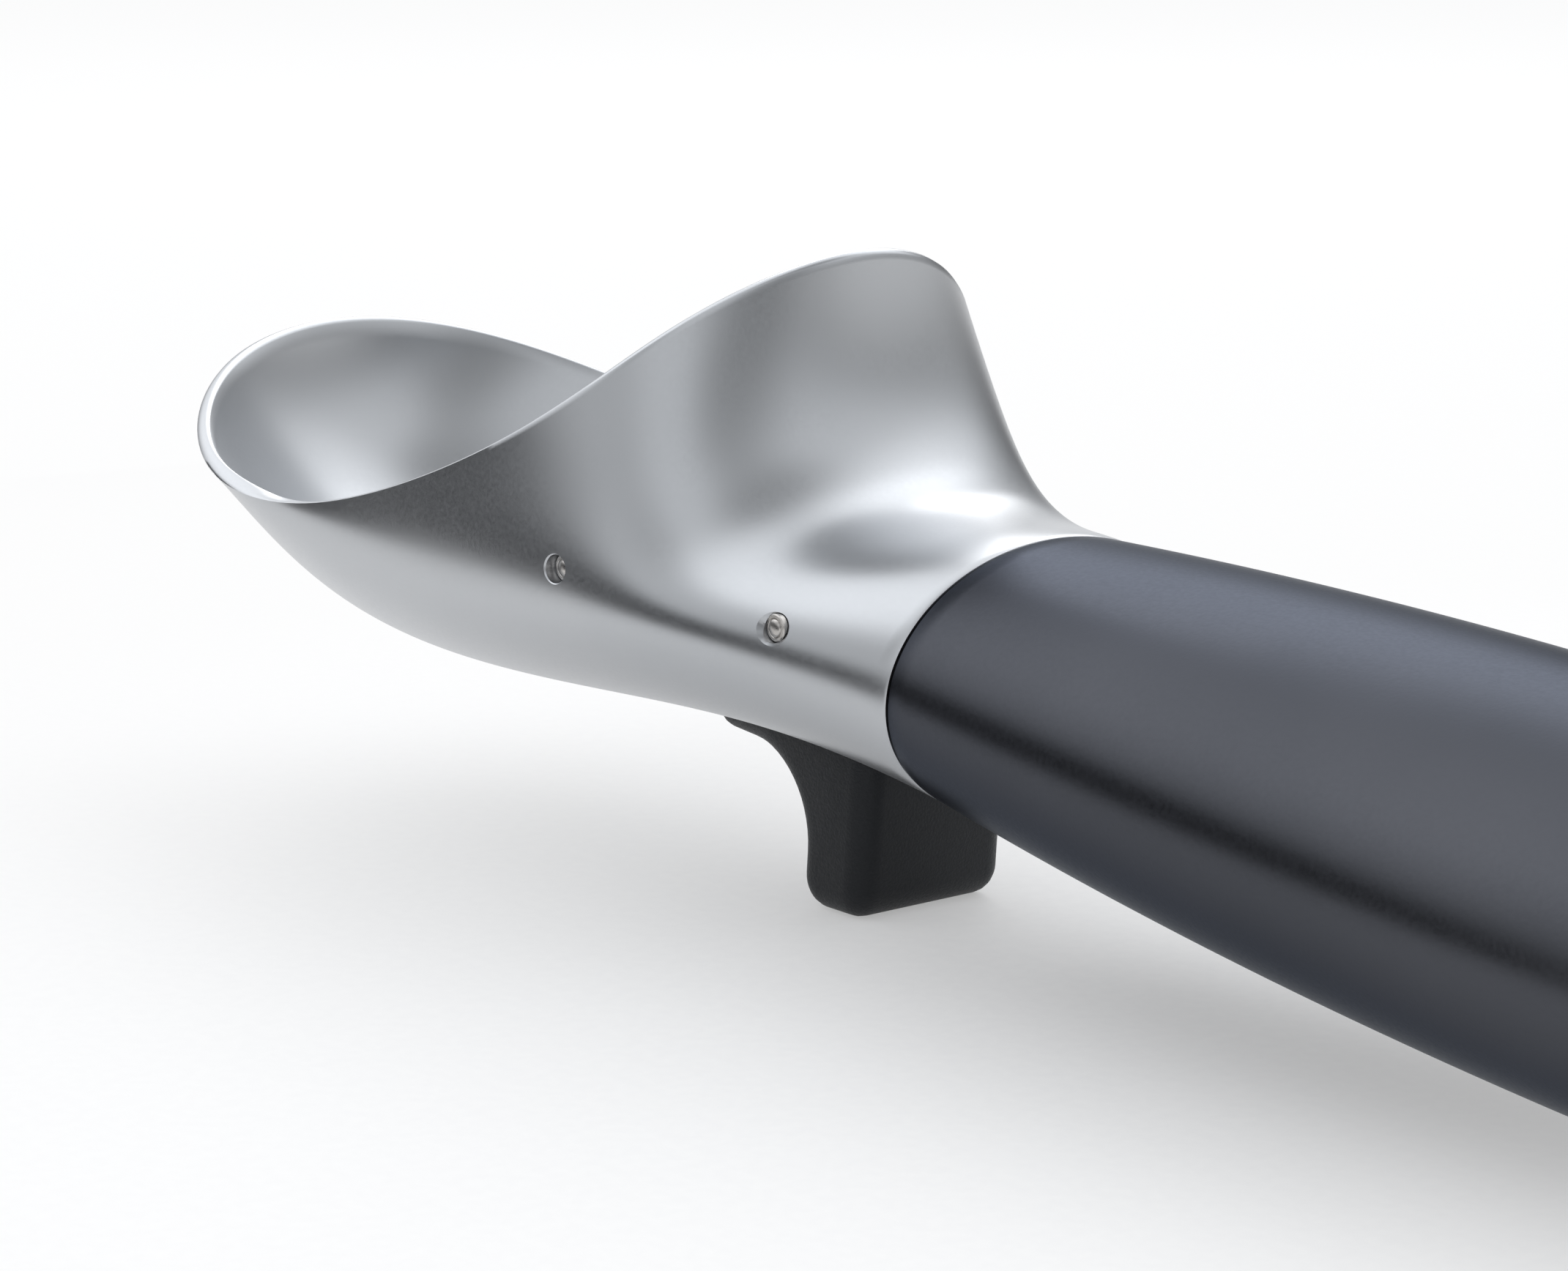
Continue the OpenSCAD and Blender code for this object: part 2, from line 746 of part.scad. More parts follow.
module dowel_pins() {
    color("lightgray")
        at_rest()
            for (side = [-1, 1])
                translate([0, side * dowel_y, 0])
                    long_bar(dowel_r, dowel_front - dowel_l, dowel_front);
}

module threaded_insert() {
    color("goldenrod")
        at_rest()
            difference() {
                long_bar(insert_r, -insert_back, insert_l - insert_back);
                long_bar(bolt_r + seat, -insert_back - 1, insert_l - insert_back + 1);
            }
}

module handle_shell() {
    columns = [for (j = [0 : handle_cols - 1]) -j * 360 / handle_cols];
    rows = [for (r = handle_rows) [for (a = columns)
        [-seam_gap - r[0], r[1] * seam_w / 2 * cos(a), r[1] * seam_h / 2 * sin(a)]]];
    color("#3c424c")
        at_rest()
            difference() {
                skin_rows(rows);
                long_bar(spigot_r + running, -spigot_l - bore_end, 1);
                long_bar(spigot_r + 2 * seal_r + 4 * seat, -2 * seal_r - 3 * seat, 1);
                long_bar(insert_r + seat, -insert_back - seat, 1);
                long_bar(bolt_r + running, plug_face - bolt_head_t - bolt_l - bore_end, 1);
                for (side = [-1, 1])
                    translate([0, side * dowel_y, 0])
                        long_bar(dowel_r + seat, dowel_front - dowel_l - bore_end, 1);
            }
}

scoop_head();
throat_cover();
stop_bumper();
ejector_plate();
ejector_pins();
ejector_washers();
drive_pin();
drive_rollers();
trigger_lever();
trigger_grip();
trigger_bushes();
trigger_pin();
spacer_sleeves();
return_spring();
neck_plug();
plug_seal();
tie_bolt();
lock_washer();
dowel_pins();
threaded_insert();
handle_shell();
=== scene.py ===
"""Looks of an ice cream scoop: fine meshes, finishes, floor, light and camera."""
import math

import bmesh
import bpy
import numpy as np
from mathutils import Matrix, Vector


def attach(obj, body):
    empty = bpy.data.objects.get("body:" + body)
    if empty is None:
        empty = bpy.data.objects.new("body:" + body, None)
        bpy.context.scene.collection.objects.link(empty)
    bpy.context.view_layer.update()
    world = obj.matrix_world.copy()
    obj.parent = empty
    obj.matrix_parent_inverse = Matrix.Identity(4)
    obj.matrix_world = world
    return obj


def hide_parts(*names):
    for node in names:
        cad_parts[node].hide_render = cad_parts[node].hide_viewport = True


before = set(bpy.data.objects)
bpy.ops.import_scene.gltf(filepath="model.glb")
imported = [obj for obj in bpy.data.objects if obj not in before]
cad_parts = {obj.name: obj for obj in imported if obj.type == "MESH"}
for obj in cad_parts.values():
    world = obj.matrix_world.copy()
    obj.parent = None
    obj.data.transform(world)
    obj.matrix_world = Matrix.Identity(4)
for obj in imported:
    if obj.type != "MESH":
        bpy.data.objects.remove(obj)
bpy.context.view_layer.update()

# Sizes, in millimetres and degrees
REST_TILT = 4.8
ORIGIN_X = 14.438
SEAM_Z = 19.651

WALL = 1.2
FLANGE_T = 1.6
FLANGE_HOLE_R = 7.1
SEAM_HALF = (14.5, 10.0)
SEAM_GAP = 0.1
# Rounding of the edges on both sides of the seam, and where its middle lies as a share of it
EDGE_ROUND = 0.25
EDGE_MIDDLE = 0.29
DOWEL_Y = 10.3
DOWEL_HOLE_R = 1.52
DOWEL_BORE_END = -8.5
# Slot in the neck's underside: back, front, half of its width, and its corners' radius
SLOT = (6.2, 26.5, 7.3, 1.0)

# Rings that shape the head: top, side and bottom point of each
SEAM_RING = [(0, 0, 10), (0, 14.5, 0), (0, 0, -10)]
NECK_RING = [(9, 0, 9.5), (18, 19, 1.5), (21, 0, -6.5)]
THROAT_RING = [(18, 0, 5), (29.5, 22, -1.5), (40.5, 0, -9)]
BELLY_RING = [(20, 0, 15.5), (36, 21, 2), (87.5, 0, -28.5)]
# Points that draw the rim, from the tip of the lip to the top of the back
RIM_HALF = [(93, 0, 8.5), (89, 15, 6), (74, 25.5, 0.5), (59.5, 22.5, 0),
            (33, 21, 12.5), (25.5, 13.5, 22.5), (19, 0, 28)]

HANDLE_L = 120
HANDLE_BELLY_AT = 58
HANDLE_GROWTH = 0.26
HANDLE_END = 14
# Bores in the handle for the bolt, insert, spigot and seal, each with its radius and its end
HANDLE_BORES = [(2.55, -29.3), (4.02, -28.02), (7.05, -13.3), (8.58, -1.56)]
BORE_POINT_R = 0.05

TRIGGER_PIVOT = (10.1, 0, 3.1)
EJECTOR_PIVOT = (30.2, 0, 3.1)
PIN_R = 1.0
PIN_HOLE_R = 1.05
PIN_DOME = 0.2
# Depth of the hollows round the pins' ends
TRIGGER_SINK = 0.35
EJECTOR_SINK = 0.15

GRIP_BACK = 10.3
GRIP_FRONT = 17.7
GRIP_TOP = -6.2
GRIP_HALF_W = 7.0
GRIP_LIP_END = 28.9
GRIP_LIP_Z = -10.35
GRIP_HOLLOW_R = 6.6
GRIP_FOOT_R = 2.4
GRIP_EDGE_R = 1.9
# From here forward the lip lies under the head, with a gap between them
GRIP_UNDER_HEAD_X = 25.8
GRIP_GAP = 0.12
# Pocket for the lever's blade: back, front, bottom and half of its width
GRIP_POCKET = (11.98, 16.02, -17.02, 2.02)

PLATE_GAP = 0.5
PLATE_T = 1.0
PLATE_REACH = 0.64
BACK_WALL_X = 28.8
BACK_WALL_T = 1.2
# Rounded top of the back wall: its middle, and its reach above that
BACK_WALL_Z = 4.1
BACK_WALL_RISE = 5.6
# Half angle of the tongue, and of the oval that its edge follows
TONGUE_HALF = 60
TONGUE_OVAL = 66
# Ears: distance of their outer face from the middle, thickness and radius
PLATE_EAR = 17.9
EAR_T = 1.6
EAR_R = 4.2
# Tail that holds the drive pin; at rest the pin lies half of the ejector's throw above the pivot
EJECTOR_THROW = 39.2
TAIL_R = 6
TAIL_HALF = 2.3
DRIVE_PIN = (EJECTOR_PIVOT[0] - TAIL_R * math.cos(math.radians(EJECTOR_THROW / 2)), 0,
             EJECTOR_PIVOT[2] + TAIL_R * math.sin(math.radians(EJECTOR_THROW / 2)))
EYE_R = 2.5
DRIVE_HOLE_R = 1.02

# Fineness of the meshes, and halvings in a search along the skin
HEAD_COLUMNS = 192
HEAD_OUTER_ROWS = 84
HEAD_INNER_ROWS = 72
HANDLE_COLUMNS = 160
HANDLE_ROWS = 60
LIP_CUT_COLUMNS = 96
PLATE_ROWS = 40
PLATE_COLUMNS = 61
LATHE_STEPS = 48
CREASE = 35
HALVINGS = 24


# Shape of the head
def bezier(points, t):
    """Point on a Bezier curve; points and t may be arrays."""
    while len(points) > 1:
        points = [a * (1 - t) + b * t for a, b in zip(points, points[1:])]
    return points[0]


def ring_point(ring, angle):
    """Point on the oval through a ring's top, side and bottom."""
    top, side, bottom = (np.array(p, float) for p in ring)
    middle, half = (top + bottom) / 2, (top - bottom) / 2
    c, s = np.cos(np.radians(angle)), np.sin(np.radians(angle))
    x = middle[0] + s * half[0] + c * c * (side[0] - middle[0])
    z = middle[2] + s * half[2] + c * c * (side[2] - middle[2])
    return np.stack([x, c * side[1], z], -1)


def rim_point(angle):
    """Point on the smooth closed curve that the rim's points draw."""
    mirrored = [(x, -y, z) for x, y, z in RIM_HALF[5:0:-1]]
    points = np.array(RIM_HALF + mirrored, float)
    place = (angle + 450) % 360 * len(points) / 360
    first = np.floor(place).astype(int)
    t = (place - first)[..., None]
    a, b, c, d = (points[(first + k) % len(points)] for k in (-1, 0, 1, 2))
    return ((1 - t) ** 3 * a + (3 * t**3 - 6 * t * t + 4) * b
            + (-3 * t**3 + 3 * t * t + 3 * t + 1) * c + t**3 * d) / 6


def skin(u, angle):
    """Outer skin: u runs from the seam (0) to the rim (1), 90 degrees is the top."""
    u, angle = np.broadcast_arrays(np.asarray(u, float), np.asarray(angle, float))
    rings = [ring_point(r, angle) for r in (SEAM_RING, NECK_RING, THROAT_RING, BELLY_RING)]
    return bezier(rings + [rim_point(angle)], u[..., None])


def unit(v):
    return v / np.linalg.norm(v, axis=-1, keepdims=True)


def outward(u, angle):
    across = skin(u, angle + 1.0) - skin(u, angle - 1.0)
    along = skin(u + 0.01, angle) - skin(u - 0.01, angle)
    return unit(np.cross(across, along))


def under(u, angle, depth):
    """Point at a depth under the outer skin."""
    return skin(u, angle) - outward(u, angle) * depth


def cross_u(angle, depth, x):
    """Share u at which the lines along the head reach a place x."""
    angle = np.asarray(angle, float)
    low, high = np.zeros(angle.shape), np.ones(angle.shape)
    for _ in range(HALVINGS):
        middle = (low + high) / 2
        short = under(middle, angle, depth)[..., 0] < x
        low, high = np.where(short, middle, low), np.where(short, high, middle)
    return (low + high) / 2


def side_point(pivot):
    """Place and outward direction of the skin on the left, level with a pin."""
    low, high = -80.0, 80.0
    for _ in range(HALVINGS):
        angle = (low + high) / 2
        u = cross_u(angle, 0.0, pivot[0])
        point = skin(u, angle)
        low, high = (angle, high) if point[2] < pivot[2] else (low, angle)
    return point, outward(u, angle)


def handle_size(s):
    """Size of the handle's oval at a distance from the seam, as a share of the seam's."""
    return 1 + HANDLE_GROWTH * (1 - (1 - s / HANDLE_BELLY_AT) ** 2)


# Mesh tools
def at_rest(points):
    """From the head's own frame in millimetres to the resting part's in metres."""
    tilt = math.radians(REST_TILT)
    c, s = math.cos(tilt), math.sin(tilt)
    p = np.asarray(points, float).reshape(-1, 3)
    x = ORIGIN_X + p[:, 0] * c - p[:, 2] * s
    z = SEAM_Z + p[:, 0] * s + p[:, 2] * c
    return np.stack([x, p[:, 1], z], -1) * 0.001


def new_object(name, points, faces, crease=CREASE):
    mesh = bpy.data.meshes.new(name)
    mesh.from_pydata([tuple(p) for p in at_rest(points)], [], faces)
    obj = bpy.data.objects.new(name, mesh)
    bpy.context.scene.collection.objects.link(obj)
    tidy(obj, crease)
    return obj


def tidy(obj, crease=CREASE):
    """Outward normals, smooth shading, and creases where faces meet at more than the angle."""
    work = bmesh.new()
    work.from_mesh(obj.data)
    bmesh.ops.remove_doubles(work, verts=work.verts, dist=1e-7)
    bmesh.ops.recalc_face_normals(work, faces=work.faces)
    work.to_mesh(obj.data)
    work.free()
    obj.data.polygons.foreach_set("use_smooth", [True] * len(obj.data.polygons))
    obj.data.set_sharp_from_angle(angle=math.radians(crease))


def grid_faces(rows, columns, closed_rows=False):
    """Quads between loops of points; each loop closes on itself."""
    last = rows if closed_rows else rows - 1
    return [(i * columns + j, (i + 1) % rows * columns + j,
             (i + 1) % rows * columns + (j + 1) % columns, i * columns + (j + 1) % columns)
            for i in range(last) for j in range(columns)]


def loft(name, loops, ends="flat", crease=CREASE):
    """Closed surface through loops of points: 'flat' closes its ends, 'ring' joins last to first."""
    columns = len(loops[0])
    faces = grid_faces(len(loops), columns, ends == "ring")
    if ends == "flat":
        faces += [tuple(range(columns)), tuple(range((len(loops) - 1) * columns, len(loops) * columns))]
    return new_object(name, np.concatenate(loops), faces, crease)


def circle_x(x, r, angles):
    """Loop of points round the X axis."""
    a = np.radians(angles)
    return np.stack([np.full(len(a), float(x)), r * np.cos(a), r * np.sin(a)], -1)


def lathe(name, centre, axis, profile, crease=CREASE):
    """Turned piece about an axis: profile is a list of (place along it, radius)."""
    axis = unit(np.array(axis, float))
    side = unit(np.cross(axis, (0.3, 0.2, 0.9)))
    other = np.cross(axis, side)
    a = np.radians(np.arange(LATHE_STEPS) * 360 / LATHE_STEPS)
    spokes = np.cos(a)[:, None] * side + np.sin(a)[:, None] * other
    loops = [np.array(centre) + axis * t + spokes * r for t, r in profile]
    return loft(name, loops, crease=crease)


def prism(name, outline, y0, y1):
    """Side view drawn as (forward, up), made solid from y0 to y1."""
    return loft(name, [np.array([(x, y, z) for x, z in outline]) for y in (y0, y1)])


def change(obj, kind, **settings):
    """Adds a modifier and applies it."""
    modifier = obj.modifiers.new(kind.lower(), kind)
    for key, value in settings.items():
        setattr(modifier, key, value)
    bpy.context.view_layer.update()
    done = obj.evaluated_get(bpy.context.evaluated_depsgraph_get())
    mesh = bpy.data.meshes.new_from_object(done)
    obj.modifiers.clear()
    old = obj.data
    obj.data = mesh
    bpy.data.meshes.remove(old)


def combine(obj, others, operation="DIFFERENCE"):
    """Cuts the others from obj, or adds them to it, and removes them."""
    for other in others:
        change(obj, "BOOLEAN", object=other, operation=operation, solver="EXACT")
        bpy.data.objects.remove(other)
    tidy(obj)


def arc(centre, r, start, end, steps):
    return [(centre[0] + r * math.cos(math.radians(b)), centre[1] + r * math.sin(math.radians(b)))
            for b in np.linspace(start, end, steps)]


# Head
def rim_loops(angles, steps=7):
    """Half-round edge of the rim, from the outer to the inner skin."""
    centre = under(1.0, angles, WALL / 2)
    out = outward(1.0, angles)
    along = unit(skin(1.0, angles) - skin(0.99, angles))
    turns = np.radians(np.linspace(0, 180, steps))
    return [centre + WALL / 2 * math.cos(t) * out + WALL / 3 * math.sin(t) * along for t in turns]


def dowel_holes(x0, x1):
    """Cutters for the two dowels' holes."""
    return [lathe("dowel_hole", (0, side * DOWEL_Y, 0), (1, 0, 0), [(x0, DOWEL_HOLE_R), (x1, DOWEL_HOLE_R)])
            for side in (1, -1)]


def make_head():
    """Thin shell from the flange's hole over the skin and the rim back to the hole."""
    angles = np.arange(HEAD_COLUMNS) * 360 / HEAD_COLUMNS
    edge = EDGE_ROUND
    start = [under(0.0, angles, edge)]
    start += [under(cross_u(angles, edge * d, edge * x), angles, edge * d)
              for d, x in ((EDGE_MIDDLE, EDGE_MIDDLE), (0.0, 1.0))]
    outer = [skin(u, angles) for u in np.linspace(0.02, 0.99, HEAD_OUTER_ROWS)]
    inner = [under(u, angles, WALL) for u in np.linspace(0.99, 0.12, HEAD_INNER_ROWS)]
    step = 0.8
    near = [under(cross_u(angles, WALL, x), angles, WALL) for x in (FLANGE_T + step, FLANGE_T)]
    hole = [circle_x(x, FLANGE_HOLE_R, angles) for x in (FLANGE_T, 0)]
    loops = start + outer + rim_loops(angles) + inner + near + hole
    head = loft("head", loops, "ring")

    slot = rounded_box(*SLOT)
    cutters = [loft("slot", [np.array([(x, y, z) for x, y in slot]) for z in (-20, -4)])]
    for pivot, sink in ((TRIGGER_PIVOT, TRIGGER_SINK), (EJECTOR_PIVOT, EJECTOR_SINK)):
        cutters.append(lathe("hole", pivot, (0, 1, 0), [(-30, PIN_HOLE_R), (30, PIN_HOLE_R)]))
        point, normal = side_point(pivot)
        for side in (1, -1):
            mirror = np.array([1, side, 1])
            cutters.append(lathe("sink", point * mirror, normal * mirror,
                                 [(-sink, PIN_HOLE_R - 0.05), (sink, PIN_HOLE_R + 2 * sink)]))
    combine(head, cutters + dowel_holes(-1, FLANGE_T + 1))
    return head


def rounded_box(x0, x1, half_w, r):
    """Outline, seen from above, of a box with rounded corners."""
    corners = [((x1 - r, half_w - r), 0), ((x0 + r, half_w - r), 90),
               ((x0 + r, r - half_w), 180), ((x1 - r, r - half_w), 270)]
    return [p for centre, start in corners for p in arc(centre, r, start, start + 90, 5)]


# Handle
def make_handle():
    """Barrel with a rounded end, and the bores that hold the clamp."""
    angles = np.arange(HANDLE_COLUMNS) * 360 / HANDLE_COLUMNS

    def oval(s, inset=0.0, share=1.0):
        size = handle_size(s) * share
        a = np.radians(angles)
        return np.stack([np.full(len(a), -SEAM_GAP - s), (SEAM_HALF[0] * size - inset) * np.cos(a),
                         (SEAM_HALF[1] * size - inset) * np.sin(a)], -1)

    edge = EDGE_ROUND
    bores = [(HANDLE_BORES[0][1], BORE_POINT_R)]
    fronts = [end for _, end in HANDLE_BORES[1:]] + [-SEAM_GAP]
    for (r, end), front in zip(HANDLE_BORES, fronts):
        bores += [(end, r), (front, r)]
    loops = [circle_x(x, r, angles) for x, r in bores]
    loops += [oval(0.0, edge), oval(edge * EDGE_MIDDLE, edge * EDGE_MIDDLE), oval(edge)]
    loops += [oval(s) for s in np.linspace(2, HANDLE_L - HANDLE_END, HANDLE_ROWS)]
    turns = np.radians(np.concatenate([np.arange(3, 88, 3.0), [89.2]]))
    loops += [oval(HANDLE_L - HANDLE_END * (1 - math.sin(t)), share=math.cos(t)) for t in turns]
    handle = loft("handle", loops)
    combine(handle, dowel_holes(DOWEL_BORE_END, 1))
    return handle


# Trigger's finger piece
def foot_z(x):
    """Height of the table in the head's own frame."""
    tilt = math.radians(REST_TILT)
    return -(SEAM_Z + x * math.sin(tilt)) / math.cos(tilt)


def round_corner(before, corner, after, r, steps=9):
    """Arc in place of an outline's corner."""
    before, corner, after = (np.array(p, float) for p in (before, corner, after))
    u, v = unit(before - corner), unit(after - corner)
    half = math.acos(float(u @ v)) / 2
    centre = corner + unit(u + v) * r / math.sin(half)
    arm = corner + u * r / math.tan(half) - centre
    end = corner + v * r / math.tan(half) - centre
    way = 1 if arm[0] * end[1] - arm[1] * end[0] > 0 else -1
    turns = way * (math.pi - 2 * half) * np.linspace(0, 1, steps)
    return [(centre[0] + arm[0] * math.cos(t) - arm[1] * math.sin(t),
             centre[1] + arm[0] * math.sin(t) + arm[1] * math.cos(t)) for t in turns]


def make_grip():
    """Finger piece: foot, hollow for the finger, and the lip that lies under the head."""
    top_back = (GRIP_BACK, GRIP_TOP)
    foot_back, foot_front = (GRIP_BACK, foot_z(GRIP_BACK)), (GRIP_FRONT, foot_z(GRIP_FRONT))
    hollow = (GRIP_FRONT + GRIP_HOLLOW_R, GRIP_LIP_Z - GRIP_HOLLOW_R)
    outline = [top_back]
    outline += round_corner(top_back, foot_back, foot_front, GRIP_FOOT_R)
    outline += round_corner(foot_back, foot_front, (GRIP_FRONT, hollow[1]), GRIP_FOOT_R)
    outline += arc(hollow, GRIP_HOLLOW_R, 180, 90, 15)
    outline += [(GRIP_LIP_END, GRIP_LIP_Z), (GRIP_LIP_END, GRIP_TOP)]
    grip = prism("grip", outline, -GRIP_HALF_W, GRIP_HALF_W)
    change(grip, "BEVEL", width=GRIP_EDGE_R * 0.001, segments=6, limit_method="ANGLE",
           angle_limit=math.radians(50), use_clamp_overlap=True)
    back, front, bottom, half_w = GRIP_POCKET
    pocket = prism("pocket", [(back, bottom), (front, bottom), (front, 0), (back, 0)], -half_w, half_w)
    angles = np.arange(LIP_CUT_COLUMNS) * 360 / LIP_CUT_COLUMNS
    head = [under(cross_u(angles, -GRIP_GAP, x), angles, -GRIP_GAP)
            for x in (GRIP_UNDER_HEAD_X, *range(27, 32))]
    combine(grip, [pocket, loft("head_room", head)])
    return grip


# Lifting plate
def make_plate():
    """Tongue along the bowl's bottom, back wall, two ears on the pins, and the tail."""
    angles = np.linspace(-90 - TONGUE_HALF, -90 + TONGUE_HALF, PLATE_COLUMNS)
    inner, outer = WALL + PLATE_GAP + PLATE_T, WALL + PLATE_GAP
    u_back = float(cross_u(np.array([-90.0]), WALL, BACK_WALL_X)[0])
    far = u_back + (PLATE_REACH - u_back) * np.sqrt(1 - ((angles + 90) / TONGUE_OVAL) ** 2)

    def row(share, depth):
        near = cross_u(angles, depth, BACK_WALL_X + 0.3)
        return under(near + (far - near) * share, angles, depth)

    loops = [np.concatenate([row(t, inner), row(t, outer)[::-1]]) for t in np.linspace(0, 1, PLATE_ROWS)]
    plate = loft("plate", loops)

    lower = np.linspace(-180, 0, 37)
    foot = under(cross_u(lower, outer, BACK_WALL_X), lower, outer)
    wall = [(BACK_WALL_X, float(np.clip(p[1], -PLATE_EAR, PLATE_EAR)), float(p[2])) for p in foot]
    wall += [(BACK_WALL_X, (PLATE_EAR - 1.8) * math.cos(b), BACK_WALL_Z + BACK_WALL_RISE * math.sin(b))
             for b in np.radians(np.linspace(0, 180, 25))]
    wall = np.array(wall)
    back = loft("back", [wall, wall + (BACK_WALL_T, 0, 0)])
    x, _, z = DRIVE_PIN
    tail = [(x - 1, z + 2.2), (BACK_WALL_X + 0.2, z + 2.2), (BACK_WALL_X + 0.2, -3.5), (x - 0.6, z - 2.4)]
    extra = [back, prism("tail", tail, -TAIL_HALF, TAIL_HALF),
             lathe("eye", DRIVE_PIN, (0, 1, 0), [(-TAIL_HALF, EYE_R), (TAIL_HALF, EYE_R)])]
    for side in (-1, 1):
        span = sorted((side * (PLATE_EAR - EAR_T), side * PLATE_EAR))
        extra.append(lathe("ear", EJECTOR_PIVOT, (0, 1, 0), [(y, EAR_R) for y in span]))
    combine(plate, extra, "UNION")
    holes = [lathe("hole", EJECTOR_PIVOT, (0, 1, 0), [(y, PIN_HOLE_R), (y + 3, PIN_HOLE_R)])
             for y in (-PLATE_EAR - 1, PLATE_EAR - 2)]
    ends = (-TAIL_HALF - 0.5, TAIL_HALF + 0.5)
    holes.append(lathe("hole", DRIVE_PIN, (0, 1, 0), [(y, DRIVE_HOLE_R) for y in ends]))
    combine(plate, holes)
    return plate


# Pins
def make_pin(name, pivot, inner, tip):
    """Pin from one place beside the middle to its riveted end: a rim with a low dome inside."""
    way = 1 if tip > inner else -1
    turns = np.radians(np.arange(0, 90, 12))
    rim = [(0.45, PIN_R), (0.28, PIN_R), (0.2, 0.92 * PIN_R), (0.2, 0.74 * PIN_R), (0.26, 0.68 * PIN_R)]
    dome = [(PIN_DOME * (1 - math.sin(t)), 0.64 * PIN_R * math.cos(t)) for t in turns]
    end = [(abs(tip) - depth, r) for depth, r in rim + dome]
    return lathe(name, pivot, (0, way, 0), [(abs(inner), PIN_R)] + end, crease=25)


def make_pins():
    side = side_point(TRIGGER_PIVOT)[0][1]
    trigger = make_pin("trigger_pin_round", TRIGGER_PIVOT, 0, side)
    combine(trigger, [make_pin("half", TRIGGER_PIVOT, 0, -side)], "UNION")
    tip = side_point(EJECTOR_PIVOT)[0][1] - 0.6
    ejector = make_pin("ejector_pins_round", EJECTOR_PIVOT, PLATE_EAR - EAR_T, tip)
    combine(ejector, [make_pin("half", EJECTOR_PIVOT, EAR_T - PLATE_EAR, -tip)], "UNION")
    return trigger, ejector


# Finishes
PATCH_SCALE = 40


def new_material(name, metallic, roughness, **sockets):
    material = bpy.data.materials.new(name)
    material.use_nodes = True
    shader = material.node_tree.nodes["Principled BSDF"]
    shader.inputs["Metallic"].default_value = metallic
    shader.inputs["Roughness"].default_value = roughness
    for key, value in sockets.items():
        shader.inputs[key].default_value = value
    return material, shader


def noise(tree, scale, detail=2.0, stretch=(1, 1, 1)):
    """Noise in the piece's own space; stretch below 1 draws it out along that axis."""
    place = tree.nodes.new("ShaderNodeTexCoord")
    sized = tree.nodes.new("ShaderNodeMapping")
    sized.inputs["Scale"].default_value = stretch
    texture = tree.nodes.new("ShaderNodeTexNoise")
    texture.inputs["Scale"].default_value = scale
    texture.inputs["Detail"].default_value = detail
    tree.links.new(place.outputs["Object"], sized.inputs["Vector"])
    tree.links.new(sized.outputs["Vector"], texture.inputs["Vector"])
    return texture.outputs["Fac"]


def map_range(tree, value, source, result):
    mapped = tree.nodes.new("ShaderNodeMapRange")
    mapped.inputs["From Min"].default_value = source[0]
    mapped.inputs["From Max"].default_value = source[1]
    mapped.inputs["To Min"].default_value = result[0]
    mapped.inputs["To Max"].default_value = result[1]
    tree.links.new(value, mapped.inputs["Value"])
    return mapped.outputs["Result"]


def calculate(tree, operation, first, second):
    node = tree.nodes.new("ShaderNodeMath")
    node.operation = operation
    tree.links.new(first, node.inputs[0])
    tree.links.new(second, node.inputs[1])
    return node.outputs["Value"]


def between(tree, value, low, high):
    """Maps noise, which mostly lies in 0.3..0.7, to low..high."""
    return map_range(tree, value, (0.3, 0.7), (low, high))


def two_tone(tree, value, first, second):
    mix = tree.nodes.new("ShaderNodeMix")
    mix.data_type = "RGBA"
    mix.inputs["A"].default_value = (*first, 1)
    mix.inputs["B"].default_value = (*second, 1)
    tree.links.new(value, mix.inputs["Factor"])
    return mix.outputs["Result"]


def bump(tree, shader, height, distance):
    node = tree.nodes.new("ShaderNodeBump")
    node.inputs["Strength"].default_value = 1.0
    node.inputs["Distance"].default_value = distance
    tree.links.new(height, node.inputs["Height"])
    tree.links.new(node.outputs["Normal"], shader.inputs["Normal"])


def finish(name, metallic, colours, roughness, grain, depth, stretch=(1, 1, 1), **sockets):
    """Finish with soft patches between two colours, and a fine grain in its gloss and surface."""
    material, shader = new_material(name, metallic, roughness[0], **sockets)
    tree = material.node_tree
    soft = noise(tree, PATCH_SCALE, 3)
    tree.links.new(two_tone(tree, between(tree, soft, 0, 1), *colours), shader.inputs["Base Color"])
    fine = noise(tree, grain, 4, stretch)
    tree.links.new(between(tree, fine, *roughness), shader.inputs["Roughness"])
    bump(tree, shader, fine, depth)
    return material


# Each has a metallic share, two colours, a range of roughness, and its grain's scale and depth in metres
SATIN = finish("satin_metal", 1.0, ((0.495, 0.51, 0.53), (0.535, 0.547, 0.565)), (0.29, 0.34), 3500,
               0.0000015)
ANODISED = finish("anodised_metal", 1.0, ((0.070, 0.073, 0.083), (0.078, 0.081, 0.092)), (0.28, 0.34),
                  3000, 0.000005, **{"Specular Tint": (0.5, 0.52, 0.56, 1)})
BLACK = finish("black_plastic", 0.0, ((0.004, 0.0055, 0.008), (0.007, 0.009, 0.0125)), (0.42, 0.55),
               5200, 0.00004, **{"Specular IOR Level": 0.35})
STEEL = finish("brushed_steel", 1.0, ((0.55, 0.56, 0.57), (0.64, 0.65, 0.66)), (0.25, 0.4), 2400, 0.000006,
               stretch=(0.05, 1, 1))
PIN = finish("pin_steel", 1.0, ((0.50, 0.48, 0.46), (0.66, 0.64, 0.62)), (0.2, 0.35), 1800, 0.00001)
DARK_STEEL = finish("spring_steel", 1.0, ((0.28, 0.29, 0.30), (0.36, 0.37, 0.38)), (0.25, 0.4), 2400,
                    0.000005)
